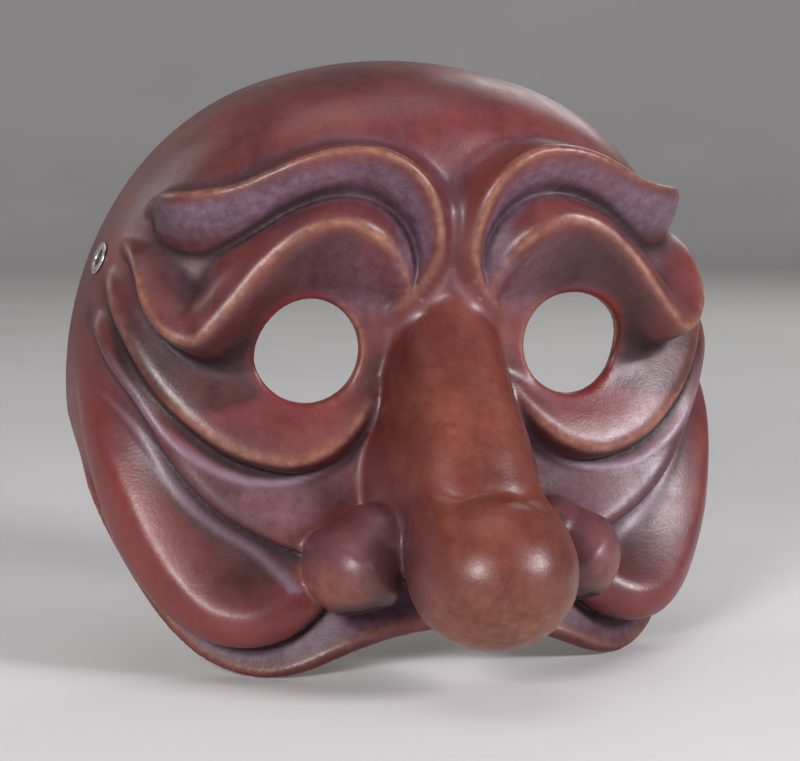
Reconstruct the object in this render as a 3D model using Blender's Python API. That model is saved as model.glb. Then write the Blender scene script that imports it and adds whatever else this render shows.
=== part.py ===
# Theatrical half mask: forehead, sinuous brows, hooded lids, bags, cheek folds,
# jowls and a drooping nose, moulded as one thin shell, with strap eyelets at the
# temples and foam pads inside. Metres, +Z up; the face looks along -Y, the plane
# of the rear rim is y = 0, and the origin is the middle of that plane, a little
# under eye height.
import bpy
import bmesh
import math
import numpy as np
from mathutils import Vector, Matrix

# ------------------------------------------------------------------
# Driving dimensions, in millimetres.
# x across, P forward from the plane of the rear rim, z up.
# ------------------------------------------------------------------
MM = 0.001
WALL = 3.0                   # wall of the moulded shell
SIDE_R = 84.5                # outline radius at the temples
TOP_R = 83.4                 # outline radius at the crown of the forehead
SQ = 3.0                     # squareness of the head form
EYE_C = (34.6, 12.1)         # eye hole centre (x, z)
EYE_R = (13.0, 12.9)         # eye hole half width and half height
NOSE_C = (0.0, 93.0, -38.3)  # centre of the nose's bulb
NOSE_R = (20.2, 20.0, 18.2)  # its radii
NOSTRIL_C = (26.0, 80.5, -52.8)
NOSTRIL_R = (9.5, 10.0, 6.4)
CELL = 1.3                   # sampling of the form
SHELL_RATIO = 0.016          # share of the sampled faces kept on the shell
GAP = 0.3                    # clearance between neighbouring pieces

EYELET_UV = (98.5, 42.0)     # strap eyelet, in unrolled face coordinates
EYELET_BORE = 2.3            # bore radius
EYELET_BARREL = 2.65         # barrel radius
EYELET_FLANGE = 4.3          # flange radius
EYELET_ROLL = 3.7            # rolled-over inner end
SHEET = 0.55                 # sheet metal of the flange
WASHER_R = 4.8
WASHER_T = 0.6

PAD_T = 5.0                  # foam pads
PAD_GAP = 1.3

# outline radius against the angle round the face (degrees, 0 = temple)
OUTLINE_DEG = (-90, -75, -60, -50, -40, -30, -15, 0, 15, 30, 45, 60, 75, 90)
OUTLINE_R = (113, 110, 103, 95, 89.3, 86, 84.8, SIDE_R, SIDE_R, 85, 85.5, 85, TOP_R, TOP_R)
# depth of the face form against height
DEPTH_Z = (-100, -80, -60, -40, -20, 0, 20, 40, 55, 65, 75, 90)
DEPTH_P = (72, 71, 67, 61, 57.5, 56, 57, 61, 67, 72, 75, 76)

# Fold edges, from the temple to the nose, on one side: position (U, V) on the
# unrolled face, height, reach above the edge, reach below it.
BROW = ((75, 53, 1.5, 5, 5), (70, 51.5, 6, 6, 9), (63, 47.5, 10.5, 8.5, 11), (55, 47, 11, 8.5, 10.5),
        (48, 48, 11, 9, 9.5), (42, 50, 11.5, 10.5, 8), (34, 53, 12, 11, 7.4), (27, 54.5, 12, 11, 7.2),
        (19, 54, 12, 11, 7.2), (12.5, 50.5, 11.5, 11, 7), (8, 45.5, 10.8, 10.5, 6.2), (5.5, 40, 10, 9.5, 5.6),
        (4.4, 34, 8.8, 9, 5), (4.9, 30.5, 7.6, 8, 4.6), (6.6, 27, 6, 7, 4.2), (9.4, 23.8, 4.2, 6, 3.8),
        (13, 21.3, 2.2, 5, 3.2), (17, 19.8, 0, 4, 3))
HOOD = ((88, 45, 0, 4, 3), (84, 42, 1.6, 5, 3), (79, 37.5, 3.8, 8, 3.5), (74, 31, 6.5, 13, 4), (70, 24, 9, 17, 4.5),
        (66, 18.5, 10.5, 21, 4.5), (61, 14.5, 11.5, 24, 4.5), (56, 13, 12, 24, 5), (52, 15, 12.5, 23, 6),
        (47, 21, 12, 21, 8.5), (42, 28, 11.5, 19, 11), (36, 34, 11, 17.5, 13), (31, 37, 10.5, 17.5, 14),
        (25, 38, 10, 17, 14), (19, 35.5, 9.5, 15, 12), (14.5, 32, 8, 12, 9), (12, 28.5, 6.5, 8, 7),
        (11, 25, 4.5, 6, 5), (11, 20.5, 0, 4, 4))
BAG = ((92, 37, 0, 5, 3), (88, 31, 2.2, 6, 3.2), (84, 25.5, 3.6, 8, 3.6), (78, 16.5, 4.6, 10, 4), (71, 7, 5.2, 12, 4.6),
       (65, 0.5, 5.6, 14, 5), (58, -5, 6.2, 16, 5.2), (51, -9.5, 6.6, 17, 5.4), (44, -12, 6.8, 17, 5.4),
       (37, -13, 6.8, 17, 5.2), (30, -11.5, 6.4, 16, 4.8), (24, -7.5, 5.5, 13, 4.4), (20, -3, 4.2, 9, 4),
       (17.5, 1.5, 2.5, 6, 3.5), (15.5, 6, 0, 5, 3))
FOLD = ((96, 24, 0, 5, 3), (91, 19, 2.4, 6, 3.4), (85, 12.5, 3.8, 8, 3.8), (80, 7.5, 4.6, 9, 4.2), (74, 1.5, 5.2, 10, 4.6),
        (69, -4.5, 5.8, 11, 5), (63, -13, 6.3, 12, 5.4), (56, -20.5, 6.8, 13, 5.6), (49, -25.5, 7, 14, 5.6),
        (42, -29, 7, 14, 5.4), (35, -32, 6.5, 13, 5), (28, -34.5, 5, 11, 4.5))
JOWL = ((104, 10, 0, 5, 6), (97, 1, 1.5, 6, 9), (89, -8, 4, 8, 13), (82, -16, 6.3, 10, 15), (75, -25, 8.8, 13, 17),
        (69, -33, 11, 15, 17.5), (62.5, -40, 12.5, 16, 16.5), (56, -44.5, 13.2, 16, 14.6), (50, -46, 12.8, 15, 13),
        (44, -45.5, 11.4, 13, 11.5), (39, -43.5, 9.2, 11, 10), (35, -40.5, 6.5, 9, 8.5), (32, -37.5, 3.5, 6, 6), (30, -35, 0, 4, 5))
LIP = ((110, -22, 0, 4, 4), (101, -30, 1.5, 5, 4), (93, -37, 2.5, 6, 4), (84, -45.5, 3.5, 7, 4.5),
       (76, -52.5, 4.5, 7, 4.5), (69, -59, 5, 7, 5), (61, -63, 5.5, 7, 5), (53, -64.5, 5.5, 7, 5),
       (45, -64, 5.5, 8, 5), (38, -61.5, 5.5, 9, 5), (31, -58, 5.2, 9, 5), (24, -55, 5, 9, 5),
       (14, -52.5, 4.5, 8, 5), (0, -51.5, 4.2, 8, 5), (-12, -52.5, 4.5, 8, 5))
# groove over the brow, and the lower rim from the temple to the middle
GROOVE = ((80, 58), (70, 57), (61, 53.5), (54, 53), (46, 57), (37, 63), (28, 65.5), (20, 65), (13, 63.5),
          (8, 61), (4.5, 57), (2, 50), (0.6, 40), (0, 30))
CREASE1 = ((92, 20), (85, 13.5), (76, 4.5), (68, -5), (60, -12), (52, -16.8), (45, -18.8), (37, -19),
           (29, -16.3), (23, -12), (18.5, -6), (16, 0))
CREASE2 = ((98, 6), (91, 1.5), (86, -1), (80, -5.5), (73, -13), (66, -21), (60, -27), (54, -31.5),
           (48, -35), (42, -38.2), (36, -41))
FROWN = ((0.2, 30), (1.4, 27), (3.6, 23.6), (7, 20.4), (11, 17.6), (15, 15.5))
RIM = ((124, -8), (112, -20.5), (102, -31), (93, -39.5), (86, -46.5), (79.5, -53), (73, -58.5), (68, -62),
       (62, -65), (56, -66.8), (49, -67.3), (41, -66), (34, -63.8), (27, -61), (21, -58.7), (14, -56.5),
       (7, -55.3), (0, -55), (-10, -56))
# nose ridge: height, half width, front line
RIDGE_Z = (-60, -45, -30, -20, -10, 0, 10, 16, 20, 24, 30)
RIDGE_W = (10, 15, 21.2, 21.9, 20.2, 17.8, 15.6, 14.2, 13.2, 12, 9)
RIDGE_P = (74, 84, 91, 91.5, 85.5, 78.0, 71.0, 67.0, 64.4, 61.5, 55)


# ------------------------------------------------------------------
# The form: a head surface, unrolled to carry the folds, plus the nose
# ------------------------------------------------------------------
def smooth_table(xs, ys, lo, hi, n, w):
    t = np.linspace(lo, hi, n)
    v = np.interp(t, xs, ys)
    k = np.ones(w) / w
    for _ in range(3):
        v = np.convolve(np.pad(v, w // 2, mode='edge'), k, 'valid')
    return t, v


OUTLINE = smooth_table(np.radians(OUTLINE_DEG), OUTLINE_R, -np.pi / 2, np.pi / 2, 361, 15)
DEPTH = smooth_table(DEPTH_Z, DEPTH_P, -130, 130, 521, 17)
RIDGEW = smooth_table(RIDGE_Z, RIDGE_W, -62, 32, 189, 7)
RIDGEP = smooth_table(RIDGE_Z, RIDGE_P, -62, 32, 189, 7)
ANG = np.linspace(0, np.pi / 2, 721)
UNIT = (np.cos(ANG) ** SQ + np.sin(ANG) ** SQ) ** (-1 / SQ)
ARC = np.concatenate([[0], np.cumsum(np.hypot(np.diff(UNIT * np.cos(ANG)),
                                              np.diff(UNIT * np.sin(ANG) * 0.68)))])
ARC = ARC[-1] - ARC           # length over the unit form from its front


def coords(x, P, z):
    """r is 1 on the face form; U, V are unrolled face coordinates."""
    x = np.abs(x)
    th = np.arctan2(z, x)
    R = np.interp(th, *OUTLINE)
    B = np.interp(z, *DEPTH)
    rho = np.hypot(x, z) / R
    p = np.maximum(P, 0) / B
    r = (rho ** SQ + p ** SQ) ** (1 / SQ)
    q = R * np.interp(np.arctan2(p, rho), ANG, ARC) + np.maximum(-P, 0)
    return r, q * np.cos(th), q * np.sin(th)


def curve(pts, step=0.8):
    """smooth curve through points; the other columns ride along"""
    p = np.array(pts, float)
    q = np.vstack([2 * p[0] - p[1], p, 2 * p[-1] - p[-2]])
    out = []
    for i in range(1, len(q) - 2):
        n = max(2, int(np.hypot(*(q[i + 1, :2] - q[i, :2])) / step))
        t = np.linspace(0, 1, n, endpoint=False)[:, None]
        a, b, c, d = q[i - 1], q[i], q[i + 1], q[i + 2]
        out.append(0.5 * ((2 * b) + (-a + c) * t + (2 * a - 5 * b + 4 * c - d) * t ** 2
                          + (-a + 3 * b - 3 * c + d) * t ** 3))
    out.append(p[-1:])
    return np.vstack(out)


def near(c, U, V):
    """distance to a curve, positive above it, and the curve's own columns there"""
    u, v = U.ravel(), V.ravel()
    best = np.full(u.shape, 1e9)
    sgn = np.zeros(u.shape)
    dat = np.zeros((u.size, c.shape[1] - 2))
    for a, b in zip(c[:-1], c[1:]):
        d = b[:2] - a[:2]
        t = np.clip(((u - a[0]) * d[0] + (v - a[1]) * d[1]) / (d @ d + 1e-12), 0, 1)
        dd = (u - a[0] - t * d[0]) ** 2 + (v - a[1] - t * d[1]) ** 2
        m = dd < best
        best = np.where(m, dd, best)
        sgn = np.where(m, np.where(d[0] * (v - a[1]) - d[1] * (u - a[0]) < 0, 1.0, -1.0), sgn)
        if c.shape[1] > 2:
            dat = np.where(m[:, None], a[2:] + t[:, None] * (b[2:] - a[2:]), dat)
    return (np.sqrt(best) * sgn).reshape(U.shape), [dat[:, i].reshape(U.shape) for i in range(dat.shape[1])]


def ease(u):
    return 0.5 * (1 + np.cos(np.pi * np.clip(u, 0, 1)))


def smax(a, b, k):
    h = np.clip(0.5 + 0.5 * (a - b) / k, 0, 1)
    return b + (a - b) * h + k * h * (1 - h)


def smin(a, b, k):
    return -smax(-a, -b, k)


def relief(U, V):
    """height of the folds over the head form"""
    d, _ = near(curve(GROOVE), U, V)
    out = -1.2 * np.exp(-(d / 1.8) ** 2) * np.clip((V - 50) / 10, 0, 1)
    for pts, kind in ((LIP, 'lip'), (JOWL, 'jowl'), (FOLD, 'fold'), (BAG, 'fold'), (HOOD, 'hood'), (BROW, 'brow')):
        d, (h, wa, wb) = near(curve(pts), U, V)
        up = np.clip(d, 0, None) / np.maximum(wa, 0.5)
        dn = np.clip(-d, 0, None) / np.maximum(wb, 0.5)
        s = np.clip(dn, 0, 1)
        if kind == 'brow':
            g = np.where(d > 0, ease(up), 1 - dn ** 1.5)
        elif kind == 'hood':
            g = np.where(d > 0, ease(up), 1 - s * s * (3 - 2 * s))
        elif kind == 'jowl':
            g = np.where(d > 0, ease(up), np.sqrt(1 - s ** 2) - np.minimum((dn - s) * 2, 0.2))
        elif kind == 'lip':
            g = np.where(d > 0, (1 - np.clip(up, 0, 1)) ** 1.7, np.sqrt(1 - s ** 2))
        else:
            g = np.where(d > 0, ease(up), 1 - np.minimum(dn, 1.15) ** 1.8)
        g = h * g
        if U.ndim == 2:
            # round off the flank above the edge, keep the edge itself
            keep = np.exp(-(np.clip(np.abs(d) - 1.5, 0, None) / 2.5) ** 2)
            keep = np.where((d > 0) | (kind == 'hood'), keep, 1.0)
            g = g * keep + blur(g, 50) * (1 - keep)
        out = smax(out, g, 0.5)
    d, _ = near(curve(FROWN), U, V)
    out = out + 0.5 * np.exp(-(d / 1.1) ** 2) * np.clip((29 - V) / 3, 0, 1) * np.clip((13 - U) / 4, 0, 1)
    for pts in (CREASE1, CREASE2):
        d, _ = near(curve(pts), U, V)
        out = out + 0.5 * np.exp(-(d / 0.9) ** 2) * np.clip((95 - U) / 15, 0, 1)
    return out


SHEET_STEP = 0.5
GU = np.arange(-8, 132.01, SHEET_STEP)
GV = np.arange(-100, 132.01, SHEET_STEP)


def blur(H, n):
    for _ in range(n):
        p = np.pad(H, 1, mode='edge')
        H = 0.25 * p[:-2, 1:-1] + 0.5 * p[1:-1, 1:-1] + 0.25 * p[2:, 1:-1]
        p = np.pad(H, 1, mode='edge')
        H = 0.25 * p[1:-1, :-2] + 0.5 * p[1:-1, 1:-1] + 0.25 * p[1:-1, 2:]
    return H


def lower(H, n):
    """lowest height within n cells"""
    for i in range(n):
        p = np.pad(H, 1, mode='edge')
        m = np.minimum(np.minimum(p[:-2, 1:-1], p[2:, 1:-1]), np.minimum(p[1:-1, :-2], p[1:-1, 2:]))
        if i % 2:
            m = np.minimum(m, np.minimum(np.minimum(p[:-2, :-2], p[2:, 2:]), np.minimum(p[:-2, 2:], p[2:, :-2])))
        H = np.minimum(H, m)
    return H


def sample(H, U, V):
    fu = np.clip((U - GU[0]) / SHEET_STEP, 0, len(GU) - 1.001)
    fv = np.clip((V - GV[0]) / SHEET_STEP, 0, len(GV) - 1.001)
    i, j = fu.astype(int), fv.astype(int)
    a, b = fu - i, fv - j
    return ((H[i, j] * (1 - a) + H[i + 1, j] * a) * (1 - b)
            + (H[i, j + 1] * (1 - a) + H[i + 1, j + 1] * a) * b)


def ellipsoid(x, P, z, c, r):
    k = np.sqrt(((x - c[0]) / r[0]) ** 2 + ((P - c[1]) / r[1]) ** 2 + ((z - c[2]) / r[2]) ** 2)
    g = np.sqrt(((x - c[0]) / r[0] ** 2) ** 2 + ((P - c[1]) / r[1] ** 2) ** 2 + ((z - c[2]) / r[2] ** 2) ** 2)
    return k * (k - 1) / np.maximum(g, 1e-6)


def nose(x, P, z, t):
    """nose solid: ridge, bulb, wings and septum, moved in by t"""
    w = np.interp(z, *RIDGEW)
    pf = np.interp(z, *RIDGEP)
    pc = 44.0
    s = (np.abs(x / w) ** 2.8 + np.abs((P - pc) / (pf - pc)) ** 2.6) ** (1 / 2.6)
    ridge = (s - 1) * np.minimum(w, pf - pc) * 0.9
    ridge = np.maximum(smax(smax(ridge, -(z + 44), 4.0), z - 28, 6.0), z - 31)
    bulb = ellipsoid(x, P, z, NOSE_C, NOSE_R)
    septum = ellipsoid(x, P, z, (0, 70, -41), (12.5, 26, 11.5))
    a = np.array([22.5, 71.0, -33.0])      # a wing is a rounded cone from a to b
    b = np.array([27.6, 71.5, -38.5])
    ab = b - a
    s2 = np.clip(((x - a[0]) * ab[0] + (P - a[1]) * ab[1] + (z - a[2]) * ab[2]) / (ab @ ab), 0, 1)
    wing = np.sqrt((x - a[0] - s2 * ab[0]) ** 2 + ((P - a[1] - s2 * ab[1]) / 1.22) ** 2
                   + (z - a[2] - s2 * ab[2]) ** 2) - (9.4 + 3.2 * s2)
    k = np.clip((np.abs(x) - 7) / 9, 0, 1)
    n = smin(ridge + t, bulb + t, 1.6 + 8.5 * k * k * (3 - 2 * k))
    n = smin(n, septum + t, 3.0)
    return smin(n, wing + t, 1.6)


UU, VV = np.meshgrid(GU, GV, indexing='ij')
OUTER = relief(np.abs(UU), VV)
INNER = blur(lower(OUTER, 6), 14)
EDGE = np.where(VV > -5, 30.0, near(curve(RIM), np.abs(UU), VV)[0])


def skin(x, P, z, t, sheet):
    """distance-like value of the whole solid, moved in by t"""
    r, U, V = coords(x, P, z)
    e = 0.6
    gx = coords(x + e, P, z)[0] - coords(x - e, P, z)[0]
    gp = coords(x, P + e, z)[0] - coords(x, P - e, z)[0]
    gz = coords(x, P, z + e)[0] - coords(x, P, z - e)[0]
    g = np.sqrt(gx * gx + gp * gp + gz * gz) / (2 * e) + 1e-5
    f = (r - 1) / g - sample(sheet, U, V) + t
    return smin(f, nose(x, P, z, t), 2.2 + 4.0 * np.clip((z - 10) / 12, 0, 1)), U, V


def shell_field(x, P, z):
    x = np.abs(x)
    o, U, V = skin(x, P, z, 0.0, OUTER)
    f = smax(o, -skin(x, P, z, WALL, INNER)[0], 0.8)
    eye = (np.hypot((x - EYE_C[0]) / EYE_R[0], (z - EYE_C[1]) / EYE_R[1]) - 1) * EYE_R[0]
    f = smax(f, -np.where(P > 20, eye, 20), 1.2)
    f = smax(f, -ellipsoid(x, P, z, NOSTRIL_C, NOSTRIL_R), 0.8)
    f = smax(f, -sample(EDGE, U, V), 1.4)
    return np.maximum(f, -P - 4.0)        # runs past the rear plane, to be trimmed flat


def face_point(U, V, off):
    """point on the head form at unrolled (U, V), moved out by off along its normal"""
    th = math.atan2(V, abs(U))
    q = math.hypot(U, V) / float(np.interp(th, *OUTLINE))
    psi = float(np.interp(-q, -ARC, ANG))
    rho, p = math.cos(psi), math.sin(psi)
    k = (rho ** SQ + p ** SQ) ** (-1 / SQ)
    R = float(np.interp(th, *OUTLINE))
    x, z = k * rho * R * math.cos(th), k * rho * R * math.sin(th)
    P = k * p * float(np.interp(z, *DEPTH))
    e = 0.2
    f = lambda a, b, c: float(coords(np.array([a]), np.array([b]), np.array([c]))[0][0])
    n = Vector((f(x + e, P, z) - f(x - e, P, z), f(x, P + e, z) - f(x, P - e, z), f(x, P, z + e) - f(x, P, z - e)))
    n.normalize()
    x, P, z = x + n.x * off, P + n.y * off, z + n.z * off
    if U < 0:
        x, n.x = -x, -n.x
    return Vector((x, -P, z)) * MM, Vector((n.x, -n.y, n.z))


def surface(field, org, h, shape):
    """closed triangle mesh of a sampled field, negative inside: every cell is split
    into six tetrahedra and each is cut on its own"""
    ax = [org[i] + h * np.arange(shape[i]) for i in range(3)]
    f = np.empty(shape)
    PP, ZZ = np.meshgrid(ax[1], ax[2], indexing='ij')
    for i, x in enumerate(ax[0]):
        f[i] = field(np.full_like(PP, x), PP, ZZ)
    f = np.where(np.abs(f) < 0.02 * h, np.where(f < 0, -0.02 * h, 0.02 * h), f)
    nx, ny, nz = shape
    s = f < 0
    corners = [(a, b, c) for a in (0, 1) for b in (0, 1) for c in (0, 1)]
    tot = sum(s[o[0]:nx - 1 + o[0], o[1]:ny - 1 + o[1], o[2]:nz - 1 + o[2]].astype(np.int8) for o in corners)
    cell = np.argwhere((tot > 0) & (tot < 8))
    flat = f.ravel()
    stride = np.array([ny * nz, nz, 1])
    base = cell @ stride
    tris = []
    for perm in ((0, 1, 2), (0, 2, 1), (1, 0, 2), (1, 2, 0), (2, 0, 1), (2, 1, 0)):
        off = [np.zeros(3, int)]
        for k in perm:
            off.append(off[-1] + np.eye(3, dtype=int)[k])
        V = np.stack([base + o @ stride for o in off], 1)        # grid points of the tetrahedron
        ins = flat[V] < 0
        code = ins @ np.array([1, 2, 4, 8])

        def edge(sel, i, j):
            i, j = min(i, j), max(i, j)
            return np.stack([V[sel, i], V[sel, j]], 1)
        for m in range(1, 15):
            sel = np.nonzero(code == m)[0]
            if not len(sel):
                continue
            inn = [i for i in range(4) if m >> i & 1]
            out = [i for i in range(4) if not m >> i & 1]
            if len(inn) == 1:
                tris.append(np.stack([edge(sel, inn[0], o) for o in out], 1))
            elif len(inn) == 3:
                tris.append(np.stack([edge(sel, out[0], i) for i in inn], 1))
            else:
                a, b = inn
                c, d = out
                e = [edge(sel, a, c), edge(sel, a, d), edge(sel, b, d), edge(sel, b, c)]
                tris.append(np.stack([e[0], e[1], e[2]], 1))
                tris.append(np.stack([e[0], e[2], e[3]], 1))
    T = np.concatenate(tris)                                     # triangles of grid edges
    key = T[..., 0] * (nx * ny * nz) + T[..., 1]
    uniq, inv = np.unique(key, return_inverse=True)
    i, j = uniq // (nx * ny * nz), uniq % (nx * ny * nz)
    t = (flat[i] / (flat[i] - flat[j]))[:, None]
    gi = np.stack([i // (ny * nz), i // nz % ny, i % nz], 1)
    gj = np.stack([j // (ny * nz), j // nz % ny, j % nz], 1)
    verts = (gi + t * (gj - gi)) * h + np.array(org)
    return verts, inv.reshape(-1, 3)


# ------------------------------------------------------------------
# Blender objects
# ------------------------------------------------------------------
for o in list(bpy.data.objects):
    bpy.data.objects.remove(o, do_unlink=True)


def material(name, colour, rough, metal):
    m = bpy.data.materials.new(name)
    m.use_nodes = True
    b = m.node_tree.nodes['Principled BSDF']
    b.inputs['Base Color'].default_value = (*colour, 1)
    b.inputs['Roughness'].default_value = rough
    b.inputs['Metallic'].default_value = metal
    return m


def new_object(name, verts, faces, mat=None):
    me = bpy.data.meshes.new(name)
    me.from_pydata(verts, [], faces)
    me.update()
    ob = bpy.data.objects.new(name, me)
    bpy.context.scene.collection.objects.link(ob)
    if mat:
        me.materials.append(mat)
    return ob


leather = material('moulded_leather', (0.20, 0.065, 0.055), 0.38, 0.0)
nickel = material('nickel_plate', (0.62, 0.60, 0.56), 0.28, 1.0)
foam = material('foam_pad', (0.045, 0.042, 0.042), 0.9, 0.0)

# --- mask_shell ---------------------------------------------------
org = (-98.4, -9.6, -81.6)
shape = (int(196.8 / CELL) + 1, int(129.6 / CELL) + 1, int(175.2 / CELL) + 1)
v, q = surface(shell_field, org, CELL, shape)
v = v * np.array([1, -1, 1]) * MM
shell = new_object('mask_shell', v.tolist(), q.tolist(), leather)
bm = bmesh.new()
bm.from_mesh(shell.data)
bmesh.ops.recalc_face_normals(bm, faces=bm.faces)
bm.to_mesh(shell.data)
bm.free()
dec = shell.modifiers.new('thin_out', 'DECIMATE')
dec.decimate_type = 'COLLAPSE'
dec.ratio = SHELL_RATIO

# the rear plane, cut flat
bpy.ops.mesh.primitive_cube_add(size=1, location=(0, 0.05, 0))
trim = bpy.context.object
trim.name = 'rear_plane_cutter'
trim.dimensions = (0.3, 0.1, 0.3)
bpy.context.view_layer.update()
trim.data.transform(Matrix.Diagonal((*trim.scale, 1)))
trim.scale = (1, 1, 1)


def cutter(ob):
    ob.hide_render = True
    ob.display_type = 'WIRE'
    return ob


def cut(ob, tool):
    m = ob.modifiers.new('cut', 'BOOLEAN')
    m.operation = 'DIFFERENCE'
    m.solver = 'EXACT'
    m.object = tool


cut(shell, cutter(trim))


def turned(name, profile, centre, normal, segs, mat):
    """ring turned about the normal through centre; profile of (radius, height) in mm,
    closed, run counter-clockwise in the radius-height plane"""
    bm = bmesh.new()
    rows = []
    for i in range(segs):
        a = 2 * math.pi * i / segs
        rows.append([bm.verts.new((r * math.cos(a) * MM, r * math.sin(a) * MM, h * MM)) for r, h in profile])
    n = len(profile)
    for i in range(segs):
        for j in range(n):
            bm.faces.new((rows[i][j], rows[(i + 1) % segs][j],
                          rows[(i + 1) % segs][(j + 1) % n], rows[i][(j + 1) % n]))
    bmesh.ops.recalc_face_normals(bm, faces=bm.faces)
    me = bpy.data.meshes.new(name)
    bm.to_mesh(me)
    bm.free()
    me.shade_smooth()
    me.set_sharp_from_angle(angle=math.radians(35))
    ob = bpy.data.objects.new(name, me)
    bpy.context.scene.collection.objects.link(ob)
    me.materials.append(mat)
    ob.matrix_world = Matrix.Translation(centre) @ normal.to_track_quat('Z', 'Y').to_matrix().to_4x4()
    return ob


# --- strap eyelets and their washers ------------------------------
top = GAP + SHEET
under = -(WALL + 0.75)                 # inner face of the washer
roll = under - WASHER_T - GAP - SHEET
eyelet_profile = [
    (EYELET_BORE, top - 0.25), (EYELET_BORE + 0.3, top), (EYELET_FLANGE - 0.35, top),
    (EYELET_FLANGE, top - 0.3), (EYELET_FLANGE, GAP), (EYELET_BARREL, GAP),
    (EYELET_BARREL, roll + SHEET), (EYELET_ROLL, roll + SHEET), (EYELET_ROLL, roll + 0.25),
    (EYELET_ROLL - 0.3, roll), (EYELET_BORE + 0.2, roll), (EYELET_BORE, roll + 0.25)]
washer_profile = [(EYELET_BARREL + GAP, under), (EYELET_BARREL + GAP, under - WASHER_T),
                  (WASHER_R, under - WASHER_T), (WASHER_R, under)]
for side, sgn in (('left', -1), ('right', 1)):
    c, n = face_point(sgn * EYELET_UV[0], EYELET_UV[1], 0.0)
    turned('eyelet_' + side, eyelet_profile, c, n, 28, nickel)
    turned('eyelet_washer_' + side, washer_profile, c, n, 28, nickel)
    bpy.ops.mesh.primitive_cylinder_add(vertices=28, radius=(EYELET_BARREL + 0.35) * MM, depth=16 * MM)
    tool = bpy.context.object
    tool.name = 'eyelet_hole_cutter_' + side
    tool.matrix_world = Matrix.Translation(c) @ n.to_track_quat('Z', 'Y').to_matrix().to_4x4()
    cut(shell, cutter(tool))


# --- foam pads -----------------------------------------------------
def pad(name, u0, u1, v0, v1, nu, nv, thick):
    """cushion glued inside the shell, its back following the inner wall, its front
    crowned, with rounded corners"""
    bm = bmesh.new()
    cu, cv, hu, hv = (u0 + u1) / 2, (v0 + v1) / 2, (u1 - u0) / 2, (v1 - v0) / 2
    back, front = {}, {}
    for i in range(nu + 1):
        for j in range(nv + 1):
            a, b = 2 * i / nu - 1, 2 * j / nv - 1
            # square to rounded rectangle
            s = (abs(a) ** 5 + abs(b) ** 5) ** 0.2
            m = max(abs(a), abs(b))
            k = m / s if s > 0 else 1
            U, V = cu + a * k * hu, cv + b * k * hv
            wall = float(sample(INNER, np.array([abs(U)]), np.array([V]))[0]) - WALL
            rim = m ** 6
            crown = thick * (1 - 0.45 * rim)
            back[i, j] = bm.verts.new(face_point(U, V, wall - PAD_GAP)[0])
            front[i, j] = bm.verts.new(face_point(U, V, wall - PAD_GAP - crown)[0])
    for i in range(nu):
        for j in range(nv):
            bm.faces.new((back[i, j], back[i + 1, j], back[i + 1, j + 1], back[i, j + 1]))
            bm.faces.new((front[i, j], front[i, j + 1], front[i + 1, j + 1], front[i + 1, j]))
    ring = ([(i, 0) for i in range(nu)] + [(nu, j) for j in range(nv)]
            + [(i, nv) for i in range(nu, 0, -1)] + [(0, j) for j in range(nv, 0, -1)])
    for a, b in zip(ring, ring[1:] + ring[:1]):
        bm.faces.new((back[a], front[a], front[b], back[b]))
    bmesh.ops.recalc_face_normals(bm, faces=bm.faces)
    me = bpy.data.meshes.new(name)
    bm.to_mesh(me)
    bm.free()
    me.shade_smooth()
    ob = bpy.data.objects.new(name, me)
    bpy.context.scene.collection.objects.link(ob)
    me.materials.append(foam)
    return ob


pad('forehead_pad', -34, 34, 66, 82, 14, 5, PAD_T)
pad('brow_pad', -11, 11, 33, 45, 8, 5, PAD_T - 0.5)
pad('cheek_pad_left', -78, -60, -24, -2, 6, 7, PAD_T - 0.5)
pad('cheek_pad_right', 60, 78, -24, -2, 6, 7, PAD_T - 0.5)
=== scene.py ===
# Theatrical half mask: moulded, painted and patinated leather shell with strap
# eyelets and inner pads. Metres, +Z up; the face looks along -Y.
import bpy
import bmesh
import math
import numpy as np
from mathutils import Vector, Matrix


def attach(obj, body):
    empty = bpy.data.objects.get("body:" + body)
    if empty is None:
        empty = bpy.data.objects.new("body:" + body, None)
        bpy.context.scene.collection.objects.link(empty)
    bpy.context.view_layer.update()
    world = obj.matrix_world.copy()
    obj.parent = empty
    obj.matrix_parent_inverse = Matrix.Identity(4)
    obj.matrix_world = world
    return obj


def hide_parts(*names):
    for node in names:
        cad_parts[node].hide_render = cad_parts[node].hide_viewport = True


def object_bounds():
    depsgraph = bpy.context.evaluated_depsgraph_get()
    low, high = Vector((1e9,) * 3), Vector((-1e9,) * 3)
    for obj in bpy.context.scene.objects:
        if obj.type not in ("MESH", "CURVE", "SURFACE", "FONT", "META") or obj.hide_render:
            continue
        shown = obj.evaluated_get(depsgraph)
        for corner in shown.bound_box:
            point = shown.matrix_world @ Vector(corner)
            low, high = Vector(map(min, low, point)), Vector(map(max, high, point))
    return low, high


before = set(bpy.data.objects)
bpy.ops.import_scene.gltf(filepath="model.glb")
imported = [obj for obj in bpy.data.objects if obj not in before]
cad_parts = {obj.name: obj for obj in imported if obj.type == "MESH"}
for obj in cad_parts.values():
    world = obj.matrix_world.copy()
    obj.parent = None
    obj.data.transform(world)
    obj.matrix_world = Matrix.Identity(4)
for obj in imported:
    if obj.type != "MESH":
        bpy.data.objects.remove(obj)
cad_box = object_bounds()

MM = 0.001
WALL = 3.0
SIDE_R = 84.5
TOP_R = 83.4
SQ = 3.0
EYE_C = (34.6, 12.1)
EYE_R = (13.0, 12.9)
NOSE_C = (0.0, 93.0, -38.3)
NOSE_R = (20.2, 20.0, 18.2)
NOSTRIL_C = (26.0, 80.5, -52.8)
NOSTRIL_R = (9.5, 10.0, 6.4)
CELL = 0.85
GAP = 0.3
EYELET_UV = (98.5, 42.0)
EYELET_BORE = 2.3
EYELET_BARREL = 2.65
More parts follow.
